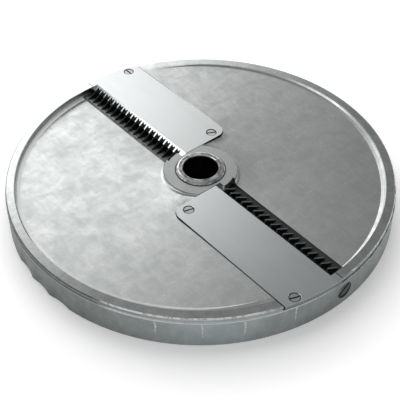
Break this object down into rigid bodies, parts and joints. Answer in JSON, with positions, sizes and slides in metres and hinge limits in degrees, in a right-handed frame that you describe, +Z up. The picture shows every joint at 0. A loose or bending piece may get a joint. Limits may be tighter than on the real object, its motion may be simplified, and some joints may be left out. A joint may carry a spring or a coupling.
{
  "type": "julienne cutting disc",
  "caption": "Flat round cutter disc with a raised rim, slicing blades and combs of upright knives that cut food into thin sticks, on a bushed hub bore.",
  "frame": {"origin": "on the axis of the bore, in the plane of the rim's foot", "axes": "+Z up the bore to the cutting side, +X outward along the first slot"},
  "size_m": [0.205, 0.205, 0.0198],
  "materials": {
    "disc": "cast and turned, satin",
    "bush": "turned stainless steel",
    "blade": "ground stainless steel",
    "bar": "milled stainless steel",
    "knife": "ground stainless steel",
    "screw": "turned stainless steel"
  },
  "bodies": {
    "root": {"disc_body": "disc", "hub_bush": "bush", "slicing_blade_1": "blade", "comb_bar_1": "bar", "comb_screw_1": "screw", "blade_screw_1_inner": "screw", "blade_screw_1_outer": "screw", "julienne_knife_1_01": "knife", "julienne_knife_1_02": "knife", "julienne_knife_1_03": "knife", "julienne_knife_1_04": "knife", "julienne_knife_1_05": "knife", "julienne_knife_1_06": "knife", "julienne_knife_1_07": "knife", "julienne_knife_1_08": "knife", "julienne_knife_1_09": "knife", "julienne_knife_1_10": "knife", "julienne_knife_1_11": "knife", "julienne_knife_1_12": "knife", "julienne_knife_1_13": "knife", "julienne_knife_1_14": "knife", "julienne_knife_1_15": "knife", "julienne_knife_1_16": "knife", "julienne_knife_1_17": "knife", "julienne_knife_1_18": "knife", "slicing_blade_2": "blade", "comb_bar_2": "bar", "comb_screw_2": "screw", "blade_screw_2_inner": "screw", "blade_screw_2_outer": "screw", "julienne_knife_2_01": "knife", "julienne_knife_2_02": "knife", "julienne_knife_2_03": "knife", "julienne_knife_2_04": "knife", "julienne_knife_2_05": "knife", "julienne_knife_2_06": "knife", "julienne_knife_2_07": "knife", "julienne_knife_2_08": "knife", "julienne_knife_2_09": "knife", "julienne_knife_2_10": "knife", "julienne_knife_2_11": "knife", "julienne_knife_2_12": "knife", "julienne_knife_2_13": "knife", "julienne_knife_2_14": "knife", "julienne_knife_2_15": "knife", "julienne_knife_2_16": "knife", "julienne_knife_2_17": "knife", "julienne_knife_2_18": "knife"}
  },
  "joints": []
}
